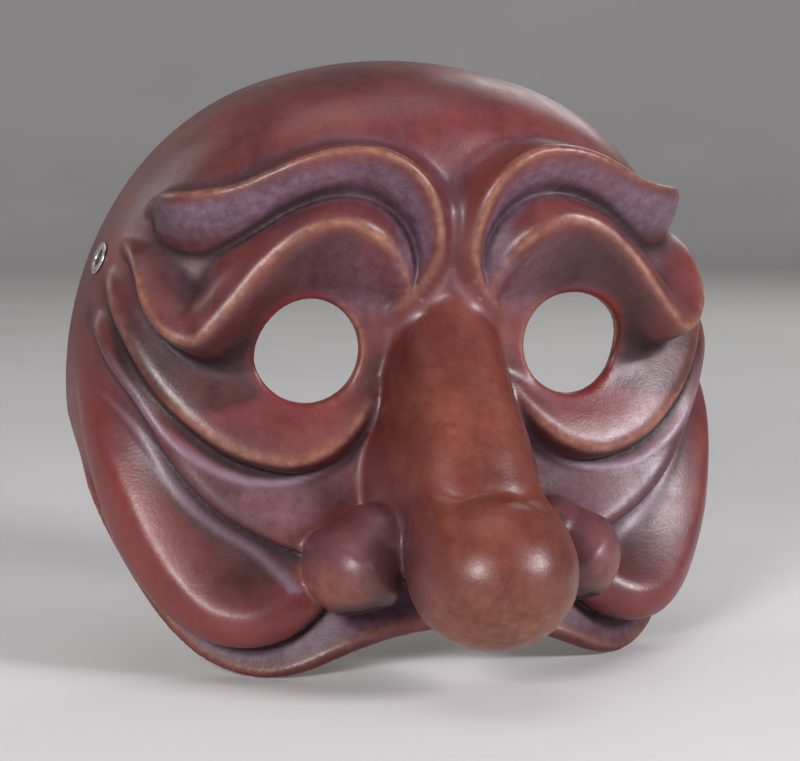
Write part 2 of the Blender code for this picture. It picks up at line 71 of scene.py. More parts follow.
EYELET_FLANGE = 4.3
EYELET_ROLL = 3.7
SHEET = 0.55
WASHER_R = 4.8
WASHER_T = 0.6
PAD_T = 5.0
PAD_GAP = 1.3

# outline radius against the angle round the face (degrees, 0 = temple)
OUTLINE_DEG = (-90, -75, -60, -50, -40, -30, -15, 0, 15, 30, 45, 60, 75, 90)
OUTLINE_R = (113, 110, 103, 95, 89.3, 86, 84.8, SIDE_R, SIDE_R, 85, 85.5, 85, TOP_R, TOP_R)
# depth of the face form against height
DEPTH_Z = (-100, -80, -60, -40, -20, 0, 20, 40, 55, 65, 75, 90)
DEPTH_P = (72, 71, 67, 61, 57.5, 56, 57, 61, 67, 72, 75, 76)

# Fold edges, from the temple to the nose, on one side: position (U, V) on the
# unrolled face, height, reach above the edge, reach below it.
BROW = ((75, 53, 1.5, 5, 5), (70, 51.5, 6, 6, 9), (63, 47.5, 10.5, 8.5, 11), (55, 47, 11, 8.5, 10.5),
        (48, 48, 11, 9, 9.5), (42, 50, 11.5, 10.5, 8), (34, 53, 12, 11, 7.4), (27, 54.5, 12, 11, 7.2),
        (19, 54, 12, 11, 7.2), (12.5, 50.5, 11.5, 11, 7), (8, 45.5, 10.8, 10.5, 6.2), (5.5, 40, 10, 9.5, 5.6),
        (4.4, 34, 8.8, 9, 5), (4.9, 30.5, 7.6, 8, 4.6), (6.6, 27, 6, 7, 4.2), (9.4, 23.8, 4.2, 6, 3.8),
        (13, 21.3, 2.2, 5, 3.2), (17, 19.8, 0, 4, 3))
HOOD = ((88, 45, 0, 4, 3), (84, 42, 1.6, 5, 3), (79, 37.5, 3.8, 6, 3.5), (74, 31, 6.5, 8, 4), (70, 24, 9, 11, 4.5),
        (66, 18.5, 10.5, 14, 4.5), (61, 14.5, 11.5, 19, 4.5), (56, 13, 12, 22, 5), (52, 15, 12.5, 23, 6),
        (47, 21, 12, 21, 8.5), (42, 28, 11.5, 19, 11), (36, 34, 11, 17.5, 13), (31, 37, 10.5, 17.5, 14),
        (25, 38, 10, 17, 14), (19, 35.5, 9.5, 15, 12), (14.5, 32, 8, 12, 9), (12, 28.5, 6.5, 8, 7),
        (11, 25, 4.5, 6, 5), (11, 20.5, 0, 4, 4))
BAG = ((92, 37, 0, 5, 3), (88, 31, 2.2, 6, 3.2), (84, 25.5, 3.6, 8, 3.6), (78, 16.5, 4.6, 10, 4), (71, 7, 5.2, 12, 4.6),
       (65, 0.5, 5.6, 14, 5), (58, -5, 6.2, 16, 5.2), (51, -9.5, 6.6, 17, 5.4), (44, -12, 6.8, 17, 5.4),
       (37, -13, 6.8, 17, 5.2), (30, -11.5, 6.4, 16, 4.8), (24, -7.5, 5.5, 13, 4.4), (20, -3, 4.2, 9, 4),
       (17.5, 1.5, 2.5, 6, 3.5), (15.5, 6, 0, 5, 3))
FOLD = ((96, 24, 0, 5, 3), (91, 19, 2.4, 6, 3.4), (85, 12.5, 3.8, 8, 3.8), (80, 7.5, 4.6, 9, 4.2), (74, 1.5, 5.2, 10, 4.6),
        (69, -4.5, 5.8, 11, 5), (63, -13, 6.3, 12, 5.4), (56, -20.5, 6.8, 13, 5.6), (49, -25.5, 7, 14, 5.6),
        (42, -29, 7, 14, 5.4), (35, -32, 6.5, 13, 5), (28, -34.5, 5, 11, 4.5))
JOWL = ((104, 10, 0, 5, 6), (97, 1, 1.5, 6, 9), (89, -8, 4, 8, 13), (82, -16, 6.3, 10, 15), (75, -25, 8.8, 13, 17),
        (69, -33, 11, 15, 17.5), (62.5, -40, 12.5, 16, 16.5), (56, -44.5, 13.2, 16, 14.6), (50, -46, 12.8, 15, 13),
        (44, -45.5, 11.4, 13, 11.5), (39, -43.5, 9.2, 11, 10), (35, -40.5, 6.5, 9, 8.5), (32, -37.5, 3.5, 6, 6), (30, -35, 0, 4, 5))
LIP = ((110, -22, 0, 4, 4), (101, -30, 1.5, 5, 4), (93, -37, 2.5, 6, 4), (84, -45.5, 3.5, 7, 4.5),
       (76, -52.5, 4.5, 7, 4.5), (69, -59, 5, 7, 5), (61, -63, 5.5, 7, 5), (53, -64.5, 5.5, 7, 5),
       (45, -64, 5.5, 8, 5), (38, -61.5, 5.5, 9, 5), (31, -58, 5.2, 9, 5), (24, -55, 5, 9, 5),
       (14, -52.5, 4.5, 8, 5), (0, -51.5, 4.2, 8, 5), (-12, -52.5, 4.5, 8, 5))
# groove over the brow, and the lower rim from the temple to the middle
GROOVE = ((80, 58), (70, 57), (61, 53.5), (54, 53), (46, 57), (37, 63), (28, 65.5), (20, 65), (13, 63.5),
          (8, 61), (4.5, 57), (2, 50), (0.6, 40), (0, 30))
CREASE1 = ((92, 20), (85, 13.5), (76, 4.5), (68, -5), (60, -12), (52, -16.8), (45, -18.8), (37, -19),
           (29, -16.3), (23, -12), (18.5, -6), (16, 0))
CREASE2 = ((98, 6), (91, 1.5), (86, -1), (80, -5.5), (73, -13), (66, -21), (60, -27), (54, -31.5),
           (48, -35), (42, -38.2), (36, -41))
FROWN = ((0.2, 30), (1.4, 27), (3.6, 23.6), (7, 20.4), (11, 17.6), (15, 15.5))
RIM = ((124, -8), (112, -20.5), (102, -31), (93, -39.5), (86, -46.5), (79.5, -53), (73, -58.5), (68, -62),
       (62, -65), (56, -66.8), (49, -67.3), (41, -66), (34, -63.8), (27, -61), (21, -58.7), (14, -56.5),
       (7, -55.3), (0, -55), (-10, -56))
# nose ridge: height, half width, front line
RIDGE_Z = (-60, -45, -30, -20, -10, 0, 10, 16, 20, 24, 30)
RIDGE_W = (10, 15, 21.2, 21.9, 20.2, 17.8, 15.6, 14.2, 13.2, 12, 9)
RIDGE_P = (74, 84, 91, 91.5, 85.5, 78.0, 71.0, 67.0, 64.4, 61.5, 55)


# ------------------------------------------------------------------
# The form: a head surface, unrolled to carry the folds, plus the nose
# ------------------------------------------------------------------
def smooth_table(xs, ys, lo, hi, n, w):
    t = np.linspace(lo, hi, n)
    v = np.interp(t, xs, ys)
    k = np.ones(w) / w
    for _ in range(3):
        v = np.convolve(np.pad(v, w // 2, mode='edge'), k, 'valid')
    return t, v


OUTLINE = smooth_table(np.radians(OUTLINE_DEG), OUTLINE_R, -np.pi / 2, np.pi / 2, 361, 15)
DEPTH = smooth_table(DEPTH_Z, DEPTH_P, -130, 130, 521, 17)
RIDGEW = smooth_table(RIDGE_Z, RIDGE_W, -62, 32, 189, 7)
RIDGEP = smooth_table(RIDGE_Z, RIDGE_P, -62, 32, 189, 7)
ANG = np.linspace(0, np.pi / 2, 721)
UNIT = (np.cos(ANG) ** SQ + np.sin(ANG) ** SQ) ** (-1 / SQ)
ARC = np.concatenate([[0], np.cumsum(np.hypot(np.diff(UNIT * np.cos(ANG)),
                                              np.diff(UNIT * np.sin(ANG) * 0.68)))])
ARC = ARC[-1] - ARC           # length over the unit form from its front


def coords(x, P, z):
    """r is 1 on the face form; U, V are unrolled face coordinates."""
    x = np.abs(x)
    th = np.arctan2(z, x)
    R = np.interp(th, *OUTLINE)
    B = np.interp(z, *DEPTH)
    rho = np.hypot(x, z) / R
    p = np.maximum(P, 0) / B
    r = (rho ** SQ + p ** SQ) ** (1 / SQ)
    q = R * np.interp(np.arctan2(p, rho), ANG, ARC) + np.maximum(-P, 0)
    return r, q * np.cos(th), q * np.sin(th)


def curve(pts, step=0.8):
    """smooth curve through points; the other columns ride along"""
    p = np.array(pts, float)
    q = np.vstack([2 * p[0] - p[1], p, 2 * p[-1] - p[-2]])
    out = []
    for i in range(1, len(q) - 2):
        n = max(2, int(np.hypot(*(q[i + 1, :2] - q[i, :2])) / step))
        t = np.linspace(0, 1, n, endpoint=False)[:, None]
        a, b, c, d = q[i - 1], q[i], q[i + 1], q[i + 2]
        out.append(0.5 * ((2 * b) + (-a + c) * t + (2 * a - 5 * b + 4 * c - d) * t ** 2
                          + (-a + 3 * b - 3 * c + d) * t ** 3))
    out.append(p[-1:])
    return np.vstack(out)


def near(c, U, V):
    """distance to a curve, positive above it, and the curve's own columns there"""
    u, v = U.ravel(), V.ravel()
    best = np.full(u.shape, 1e9)
    sgn = np.zeros(u.shape)
    dat = np.zeros((u.size, c.shape[1] - 2))
    for a, b in zip(c[:-1], c[1:]):
        d = b[:2] - a[:2]
        t = np.clip(((u - a[0]) * d[0] + (v - a[1]) * d[1]) / (d @ d + 1e-12), 0, 1)
        dd = (u - a[0] - t * d[0]) ** 2 + (v - a[1] - t * d[1]) ** 2
        m = dd < best
        best = np.where(m, dd, best)
        sgn = np.where(m, np.where(d[0] * (v - a[1]) - d[1] * (u - a[0]) < 0, 1.0, -1.0), sgn)
        if c.shape[1] > 2:
            dat = np.where(m[:, None], a[2:] + t[:, None] * (b[2:] - a[2:]), dat)
    return (np.sqrt(best) * sgn).reshape(U.shape), [dat[:, i].reshape(U.shape) for i in range(dat.shape[1])]


def ease(u):
    return 0.5 * (1 + np.cos(np.pi * np.clip(u, 0, 1)))


def smax(a, b, k):
    h = np.clip(0.5 + 0.5 * (a - b) / k, 0, 1)
    return b + (a - b) * h + k * h * (1 - h)


def smin(a, b, k):
    return -smax(-a, -b, k)


def relief(U, V):
    """height of the folds over the head form"""
    d, _ = near(curve(GROOVE), U, V)
    out = -1.2 * np.exp(-(d / 1.8) ** 2) * np.clip((V - 50) / 10, 0, 1)
    for pts, kind in ((LIP, 'lip'), (JOWL, 'jowl'), (FOLD, 'fold'), (BAG, 'fold'), (HOOD, 'hood'), (BROW, 'brow')):
        d, (h, wa, wb) = near(curve(pts), U, V)
        up = np.clip(d, 0, None) / np.maximum(wa, 0.5)
        dn = np.clip(-d, 0, None) / np.maximum(wb, 0.5)
        s = np.clip(dn, 0, 1)
        if kind == 'brow':
            g = np.where(d > 0, ease(up), 1 - dn ** 1.5)
        elif kind == 'hood':
            g = np.where(d > 0, ease(up), 1 - s * s * (3 - 2 * s))
        elif kind == 'jowl':
            g = np.where(d > 0, ease(up), np.sqrt(1 - s ** 2) - np.minimum((dn - s) * 2, 0.2))
        elif kind == 'lip':
            g = np.where(d > 0, (1 - np.clip(up, 0, 1)) ** 1.7, np.sqrt(1 - s ** 2))
        else:
            g = np.where(d > 0, ease(up), 1 - np.minimum(dn, 1.15) ** 1.8)
        g = h * g
        if U.ndim == 2:
            # round off the flank above the edge, keep the edge itself
            keep = np.exp(-(np.clip(np.abs(d) - 1.5, 0, None) / 2.5) ** 2)
            keep = np.where((d > 0) | (kind == 'hood'), keep, 1.0)
            g = g * keep + blur(g, 50) * (1 - keep)
        out = smax(out, g, 0.5)
    d, _ = near(curve(FROWN), U, V)
    out = out + 0.35 * np.exp(-(d / 1.1) ** 2) * np.clip((29 - V) / 3, 0, 1) * np.clip((13 - U) / 4, 0, 1)
    for pts in (CREASE1, CREASE2):
        d, _ = near(curve(pts), U, V)
        out = out + 0.5 * np.exp(-(d / 0.9) ** 2) * np.clip((95 - U) / 15, 0, 1)
    return out


SHEET_STEP = 0.5
GU = np.arange(-8, 132.01, SHEET_STEP)
GV = np.arange(-100, 132.01, SHEET_STEP)


def blur(H, n):
    for _ in range(n):
        p = np.pad(H, 1, mode='edge')
        H = 0.25 * p[:-2, 1:-1] + 0.5 * p[1:-1, 1:-1] + 0.25 * p[2:, 1:-1]
        p = np.pad(H, 1, mode='edge')
        H = 0.25 * p[1:-1, :-2] + 0.5 * p[1:-1, 1:-1] + 0.25 * p[1:-1, 2:]
    return H


def lower(H, n):
    """lowest height within n cells"""
    for i in range(n):
        p = np.pad(H, 1, mode='edge')
        m = np.minimum(np.minimum(p[:-2, 1:-1], p[2:, 1:-1]), np.minimum(p[1:-1, :-2], p[1:-1, 2:]))
        if i % 2:
            m = np.minimum(m, np.minimum(np.minimum(p[:-2, :-2], p[2:, 2:]), np.minimum(p[:-2, 2:], p[2:, :-2])))
        H = np.minimum(H, m)
    return H


def sample(H, U, V):
    fu = np.clip((U - GU[0]) / SHEET_STEP, 0, len(GU) - 1.001)
    fv = np.clip((V - GV[0]) / SHEET_STEP, 0, len(GV) - 1.001)
    i, j = fu.astype(int), fv.astype(int)
    a, b = fu - i, fv - j
    return ((H[i, j] * (1 - a) + H[i + 1, j] * a) * (1 - b)
            + (H[i, j + 1] * (1 - a) + H[i + 1, j + 1] * a) * b)


def ellipsoid(x, P, z, c, r):
    k = np.sqrt(((x - c[0]) / r[0]) ** 2 + ((P - c[1]) / r[1]) ** 2 + ((z - c[2]) / r[2]) ** 2)
    g = np.sqrt(((x - c[0]) / r[0] ** 2) ** 2 + ((P - c[1]) / r[1] ** 2) ** 2 + ((z - c[2]) / r[2] ** 2) ** 2)
    return k * (k - 1) / np.maximum(g, 1e-6)


def nose(x, P, z, t):
    """nose solid: ridge, bulb, wings and septum, moved in by t"""
    w = np.interp(z, *RIDGEW)
    pf = np.interp(z, *RIDGEP)
    pc = 44.0
    s = (np.abs(x / w) ** 2.8 + np.abs((P - pc) / (pf - pc)) ** 2.6) ** (1 / 2.6)
    ridge = (s - 1) * np.minimum(w, pf - pc) * 0.9
    ridge = np.maximum(smax(smax(ridge, -(z + 44), 4.0), z - 28, 6.0), z - 31)
    bulb = ellipsoid(x, P, z, NOSE_C, NOSE_R)
    septum = ellipsoid(x, P, z, (0, 70, -41), (12.5, 26, 11.5))
    a = np.array([22.5, 71.0, -33.0])      # a wing is a rounded cone from a to b
    b = np.array([27.6, 71.5, -38.5])
    ab = b - a
    s2 = np.clip(((x - a[0]) * ab[0] + (P - a[1]) * ab[1] + (z - a[2]) * ab[2]) / (ab @ ab), 0, 1)
    wing = np.sqrt((x - a[0] - s2 * ab[0]) ** 2 + ((P - a[1] - s2 * ab[1]) / 1.22) ** 2
                   + (z - a[2] - s2 * ab[2]) ** 2) - (9.4 + 3.2 * s2)
    k = np.clip((np.abs(x) - 7) / 9, 0, 1)
    n = smin(ridge + t, bulb + t, 1.6 + 8.5 * k * k * (3 - 2 * k))
    n = smin(n, septum + t, 3.0)
    return smin(n, wing + t, 1.6)


UU, VV = np.meshgrid(GU, GV, indexing='ij')
OUTER = relief(np.abs(UU), VV)
INNER = blur(lower(OUTER, 6), 14)
EDGE = np.where(VV > -5, 30.0, near(curve(RIM), np.abs(UU), VV)[0])


def skin(x, P, z, t, sheet):
    """distance-like value of the whole solid, moved in by t"""
    r, U, V = coords(x, P, z)
    e = 0.6
    gx = coords(x + e, P, z)[0] - coords(x - e, P, z)[0]
    gp = coords(x, P + e, z)[0] - coords(x, P - e, z)[0]
    gz = coords(x, P, z + e)[0] - coords(x, P, z - e)[0]
    g = np.sqrt(gx * gx + gp * gp + gz * gz) / (2 * e) + 1e-5
    f = (r - 1) / g - sample(sheet, U, V) + t
    return smin(f, nose(x, P, z, t), 2.2 + 4.0 * np.clip((z - 10) / 12, 0, 1)), U, V


def shell_field(x, P, z):
    x = np.abs(x)
    o, U, V = skin(x, P, z, 0.0, OUTER)
    f = smax(o, -skin(x, P, z, WALL, INNER)[0], 0.8)
    eye = (np.hypot((x - EYE_C[0]) / EYE_R[0], (z - EYE_C[1]) / EYE_R[1]) - 1) * EYE_R[0]
    f = smax(f, -np.where(P > 20, eye, 20), 1.2)
    f = smax(f, -ellipsoid(x, P, z, NOSTRIL_C, NOSTRIL_R), 0.8)
    f = smax(f, -sample(EDGE, U, V), 1.4)
    return np.maximum(f, -P - 4.0)        # runs past the rear plane, to be trimmed flat


def face_point(U, V, off):
    """point on the head form at unrolled (U, V), moved out by off along its normal"""
    th = math.atan2(V, abs(U))
    q = math.hypot(U, V) / float(np.interp(th, *OUTLINE))
    psi = float(np.interp(-q, -ARC, ANG))
    rho, p = math.cos(psi), math.sin(psi)
    k = (rho ** SQ + p ** SQ) ** (-1 / SQ)
    R = float(np.interp(th, *OUTLINE))
    x, z = k * rho * R * math.cos(th), k * rho * R * math.sin(th)
    P = k * p * float(np.interp(z, *DEPTH))
    e = 0.2
    f = lambda a, b, c: float(coords(np.array([a]), np.array([b]), np.array([c]))[0][0])
    n = Vector((f(x + e, P, z) - f(x - e, P, z), f(x, P + e, z) - f(x, P - e, z), f(x, P, z + e) - f(x, P, z - e)))
    n.normalize()
    x, P, z = x + n.x * off, P + n.y * off, z + n.z * off
    if U < 0:
        x, n.x = -x, -n.x
    return Vector((x, -P, z)) * MM, Vector((n.x, -n.y, n.z))




def nets(field, org, h, shape):
    """smooth quad mesh of a sampled field, negative inside"""
    ax = [org[i] + h * np.arange(shape[i]) for i in range(3)]
    f = np.empty(shape)
    PP, ZZ = np.meshgrid(ax[1], ax[2], indexing='ij')
    half = shape[0] // 2
    for i in range(half, shape[0]):
        f[i] = field(np.full_like(PP, ax[0][i]), PP, ZZ)
    for i in range(half):
        f[i] = f[shape[0] - 1 - i]
    nx, ny, nz = shape
    s = f < 0
    offs = [(a, b, c) for a in (0, 1) for b in (0, 1) for c in (0, 1)]
    tot = sum(s[o[0]:nx - 1 + o[0], o[1]:ny - 1 + o[1], o[2]:nz - 1 + o[2]].astype(np.int8) for o in offs)
    mixed = (tot > 0) & (tot < 8)
    idx = np.argwhere(mixed)
    F = np.stack([f[idx[:, 0] + o[0], idx[:, 1] + o[1], idx[:, 2] + o[2]] for o in offs], 1)
    O = np.array(offs, float)
    pos = np.zeros((len(idx), 3))
    cnt = np.zeros(len(idx))
    for i in range(8):
        for j in range(i + 1, 8):
            if abs(O[i] - O[j]).sum() != 1:
                continue
            a, b = F[:, i], F[:, j]
            m = (a < 0) != (b < 0)
            t = np.where(m, a / np.where(m, a - b, 1), 0)
            pos += np.where(m[:, None], O[i] + t[:, None] * (O[j] - O[i]), 0)
            cnt += m
    verts = (idx + pos / cnt[:, None]) * h + np.array(org)
    num = -np.ones(mixed.shape, np.int64)
    num[mixed] = np.arange(len(idx))
    quads = []
    for k in range(3):
        lo, hi = [slice(None)] * 3, [slice(None)] * 3
        lo[k], hi[k] = slice(0, -1), slice(1, None)
        a, b = s[tuple(lo)], s[tuple(hi)]
        e = np.argwhere(a != b)
        o1, o2 = (k + 1) % 3, (k + 2) % 3
        e = e[(e[:, o1] > 0) & (e[:, o2] > 0) & (e[:, o1] < shape[o1] - 1) & (e[:, o2] < shape[o2] - 1)]
        ins = a[tuple(e.T)]

        def cell(d1, d2):
            q = e.copy()
            q[:, o1] += d1
            q[:, o2] += d2
            return num[tuple(q.T)]
        q = np.stack([cell(-1, -1), cell(0, -1), cell(0, 0), cell(-1, 0)], 1)
        q[~ins] = q[~ins][:, ::-1]
        quads.append(q)
    return verts, np.vstack(quads)


def settle(field, verts, rounds, cap):
    for _ in range(rounds):
        v = field(verts[:, 0], verts[:, 1], verts[:, 2])
        g = []
        for k in range(3):
            d = np.zeros(3)
            d[k] = 0.12
            g.append((field(*(verts + d).T) - field(*(verts - d).T)) / 0.24)
        g = np.stack(g, 1)
        st = (v / ((g ** 2).sum(1) + 1e-3))[:, None] * g
        ln = np.sqrt((st ** 2).sum(1, keepdims=True))
        verts = verts - st * np.minimum(1, cap / np.maximum(ln, 1e-9))
    return verts


def relax(verts, quads, rounds, amount):
    """Laplacian smoothing"""
    n = len(verts)
    e = np.vstack([quads[:, [0, 1]], quads[:, [1, 2]], quads[:, [2, 3]], quads[:, [3, 0]]])
    e = np.vstack([e, e[:, ::-1]])
    cnt = np.bincount(e[:, 0], minlength=n)[:, None]
    for _ in range(rounds):
        s = np.stack([np.bincount(e[:, 0], weights=verts[e[:, 1], k], minlength=n) for k in range(3)], 1)
        verts = verts + amount * (s / np.maximum(cnt, 1) - verts)
    return verts


_c, _n = face_point(EYELET_UV[0], EYELET_UV[1], 0.0)
EYELET_AT = np.array([_c.x, -_c.y, _c.z]) / MM
EYELET_AX = np.array([_n.x, -_n.y, _n.z])


def full_field(x, P, z):
    f = smax(shell_field(x, P, z), -P, 0.5)
    dx, dp, dz = np.abs(x) - EYELET_AT[0], P - EYELET_AT[1], z - EYELET_AT[2]
    t = dx * EYELET_AX[0] + dp * EYELET_AX[1] + dz * EYELET_AX[2]
    rad = np.sqrt(np.maximum(dx * dx + dp * dp + dz * dz - t * t, 0))
    return smax(f, (EYELET_BARREL + 0.35) - rad, 0.3)


def new_object(name, verts, faces, mat=None, smooth=True):
    me = bpy.data.meshes.new(name)
    me.from_pydata(verts, [], faces)
    me.update()
    if smooth:
        me.shade_smooth()
    ob = bpy.data.objects.new(name, me)
    bpy.context.scene.collection.objects.link(ob)
    if mat:
        me.materials.append(mat)
    return ob


# ------------------------------------------------------------------
# Materials
# ------------------------------------------------------------------
class Tree:
    """small helper for node materials"""
    def __init__(self, name):
        self.mat = bpy.data.materials.new(name)
        self.mat.use_nodes = True
        self.t = self.mat.node_tree
        self.b = self.t.nodes['Principled BSDF']
        self.pos = self.t.nodes.new('ShaderNodeTexCoord').outputs['Object']

    def link(self, a, b):
        self.t.links.new(a, b)

    def stretch(self, scale):
        m = self.t.nodes.new('ShaderNodeMapping')
        m.inputs['Scale'].default_value = scale
        self.link(self.pos, m.inputs['Vector'])
        return m.outputs['Vector']

    def noise(self, scale, detail=4, rough=0.55, vec=None, distort=0.0):
        n = self.t.nodes.new('ShaderNodeTexNoise')
        n.inputs['Scale'].default_value = scale
        n.inputs['Detail'].default_value = detail
        n.inputs['Roughness'].default_value = rough
        n.inputs['Distortion'].default_value = distort
        self.link(vec or self.pos, n.inputs['Vector'])
        return n.outputs['Fac']

    def cells(self, scale, feature='F1'):
        n = self.t.nodes.new('ShaderNodeTexVoronoi')
        n.feature = feature
        n.inputs['Scale'].default_value = scale
        self.link(self.pos, n.inputs['Vector'])
        return n.outputs['Distance']

    def ramp(self, fac, stops):
        r = self.t.nodes.new('ShaderNodeValToRGB')
        e = r.color_ramp.elements
        while len(e) < len(stops):
            e.new(0.5)
        for k, (p, c) in enumerate(stops):
            e[k].position = p
            e[k].color = c if len(c) == 4 else (*c, 1)
        self.link(fac, r.inputs['Fac'])
        return r.outputs['Color']

    def span(self, fac, a, b, lo=0.0, hi=1.0):
        m = self.t.nodes.new('ShaderNodeMapRange')
        m.inputs['From Min'].default_value = a
        m.inputs['From Max'].default_value = b
        m.inputs['To Min'].default_value = lo
        m.inputs['To Max'].default_value = hi
        self.link(fac, m.inputs['Value'])
        return m.outputs['Result']

    def math(self, op, a, b=None):
        m = self.t.nodes.new('ShaderNodeMath')
        m.operation = op
        for i, v in enumerate((a, b)):
            if v is None:
                continue
            if isinstance(v, (int, float)):
                m.inputs[i].default_value = v
            else:
                self.link(v, m.inputs[i])
        return m.outputs[0]

    def mix(self, fac, a, b, mode='MIX'):
        m = self.t.nodes.new('ShaderNodeMix')
        m.data_type = 'RGBA'
        m.blend_type = mode
        m.clamp_factor = True
        for v, s in ((fac, m.inputs[0]), (a, m.inputs[6]), (b, m.inputs[7])):
            if isinstance(v, (int, float)):
                s.default_value = v
            elif isinstance(v, tuple):
                s.default_value = v if len(v) == 4 else (*v, 1)
            else:
                self.link(v, s)
        return m.outputs[2]

    def attr(self, name):
        a = self.t.nodes.new('ShaderNodeAttribute')
        a.attribute_name = name
        return a.outputs['Fac']

    def bump(self, height, dist, strength=1.0, normal=None):
        n = self.t.nodes.new('ShaderNodeBump')
        n.inputs['Distance'].default_value = dist
        n.inputs['Strength'].default_value = strength
        self.link(height, n.inputs['Height'])
        if normal:
            self.link(normal, n.inputs['Normal'])
        return n.outputs['Normal']


def leather_paint():
    t = Tree('painted_leather')
    cloud = t.noise(38, 5, 0.6)                     # soft mottling
    fine = t.noise(420, 5, 0.62)
    hair = t.noise(60, 5, 0.65, t.stretch((1.0, 1.0, 7.0)), 0.4)   # brushed streaks, mostly level
    hair2 = t.noise(55, 5, 0.65, t.stretch((6.0, 1.0, 1.2)), 0.4)  # and some upright
    base = t.ramp(cloud, [(0.30, (0.050, 0.0095, 0.0085)), (0.48, (0.098, 0.019, 0.0145)), (0.70, (0.170, 0.036, 0.023))])
    base = t.mix(t.span(hair, 0.45, 0.75, 0, 0.18), base, (0.050, 0.012, 0.014))
    base = t.mix(t.span(hair2, 0.5, 0.78, 0, 0.25), base, (0.19, 0.066, 0.042))
    # warm areas
    base = t.mix(t.math('MULTIPLY', t.attr('warm'), t.span(cloud, 0.3, 0.6, 0.55, 1.0)), base, (0.200, 0.026, 0.015))
    # violet-grey patina in the hollows
    pat = t.math('MULTIPLY', t.attr('cool'), t.span(t.noise(48, 4, 0.55, t.stretch((1, 1, 2.2))), 0.34, 0.64, 0.62, 1.0))
    base = t.mix(pat, base, t.ramp(fine, [(0.30, (0.085, 0.043, 0.062)), (0.70, (0.180, 0.112, 0.165))]))
    # rubbed ochre on the crests
    rub = t.math('MULTIPLY', t.attr('rub'), t.span(t.noise(200, 4, 0.6), 0.30, 0.62, 0.35, 0.95))
    base = t.mix(rub, base, t.ramp(fine, [(0.35, (0.185, 0.070, 0.034)), (0.68, (0.35, 0.180, 0.100))]))
    base = t.mix(t.attr('amber'), base, t.ramp(fine, [(0.30, (0.165, 0.040, 0.021)), (0.70, (0.275, 0.082, 0.044))]))
    # red paint round the eyes and on the rolled lip
    base = t.mix(t.attr('red'), base, t.ramp(hair, [(0.35, (0.13, 0.007, 0.007)), (0.7, (0.26, 0.020, 0.014))]))
    # painted shade: dark brown under the folds, in the jowl valley, in the broad hollows and on the nose flanks
    base = t.mix(t.math('MULTIPLY', t.attr('shade'), t.span(cloud, 0.3, 0.7, 0.85, 0.6)), base, (0.030, 0.009, 0.008))
    # painted shade in the creases and round the nostrils, then a pale painted highlight along the crease ridges
    base = t.mix(t.attr('recess_shade'), base, (0.014, 0.004, 0.005))
    base = t.mix(t.attr('crease_highlight'), base, (0.235, 0.150, 0.190))
    # pale specks and dark pores
    specks = t.span(t.cells(900), 0.05, 0.16, 0.55, 0.0)
    specks = t.math('MULTIPLY', specks, t.span(t.noise(70, 2, 0.5), 0.5, 0.62, 0.0, 1.0))
    base = t.mix(specks, base, (0.30, 0.17, 0.13))
    # the raw inner face
    inside = t.ramp(t.noise(120, 6, 0.7), [(0.3, (0.095, 0.045, 0.028)), (0.7, (0.210, 0.110, 0.066))])
    inside = t.mix(t.span(t.noise(900, 3, 0.6), 0.45, 0.7, 0, 0.5), inside, (0.30, 0.18, 0.12))
    base = t.mix(t.attr('inner'), base, inside)
    t.link(base, t.b.inputs['Base Color'])
    rough = t.span(t.noise(150, 4, 0.6), 0.3, 0.7, 0.30, 0.44)
    rough = t.math('ADD', rough, t.math('MULTIPLY', t.attr('recess_shade'), 0.30))
    rough = t.math('ADD', rough, t.math('MULTIPLY', t.attr('cool'), 0.06))
    rough = t.math('ADD', rough, t.math('MULTIPLY', t.attr('inner'), 0.36))
    t.link(rough, t.b.inputs['Roughness'])
    t.b.inputs['Specular IOR Level'].default_value = 0.42
    t.b.inputs['Coat Weight'].default_value = 0.05
    t.b.inputs['Coat Roughness'].default_value = 0.22
    # surface: soft hammering, brush marks, leather grain
    n = t.bump(t.noise(70, 3, 0.5), 0.00025, 0.30)
    n = t.bump(hair, 0.00010, 0.30, n)
    grain = t.cells(1500, 'SMOOTH_F1')
    n = t.bump(grain, 0.00006, 0.40, n)
    n = t.bump(fine, 0.00009, 0.40, n)
    t.link(n, t.b.inputs['Normal'])
    t.link(n, t.b.inputs['Coat Normal'])
    return t.mat


def nickel_mat():
    t = Tree('worn_nickel')
    c = t.ramp(t.noise(500, 4, 0.6), [(0.3, (0.42, 0.39, 0.35)), (0.65, (0.72, 0.70, 0.66))])
    t.link(c, t.b.inputs['Base Color'])
    t.b.inputs['Metallic'].default_value = 1.0
    t.link(t.span(t.noise(900, 3, 0.6), 0.3, 0.7, 0.18, 0.42), t.b.inputs['Roughness'])
    t.link(t.bump(t.noise(1600, 2, 0.5), 0.00003, 0.5), t.b.inputs['Normal'])
    return t.mat


def felt_mat():
    t = Tree('black_felt')
    f = t.noise(1400, 5, 0.75, t.stretch((1, 1, 1)), 1.2)
    c = t.ramp(f, [(0.32, (0.014, 0.013, 0.014)), (0.70, (0.062, 0.056, 0.056))])
    t.link(c, t.b.inputs['Base Color'])
    t.b.inputs['Roughness'].default_value = 0.95
    t.b.inputs['Sheen Weight'].default_value = 0.35
    t.b.inputs['Sheen Roughness'].default_value = 0.5
    n = t.bump(t.noise(500, 4, 0.6), 0.0003, 0.4)
    t.link(t.bump(f, 0.00018, 0.7, n), t.b.inputs['Normal'])
    return t.mat


def floor_mat():
    t = Tree('pale_floor')
    c = t.ramp(t.noise(6, 3, 0.5), [(0.3, (0.66, 0.655, 0.64)), (0.7, (0.70, 0.695, 0.68))])
    t.link(c, t.b.inputs['Base Color'])
    t.b.inputs['Roughness'].default_value = 0.7
    return t.mat


LEATHER, NICKEL, FELT = leather_paint(), nickel_mat(), felt_mat()

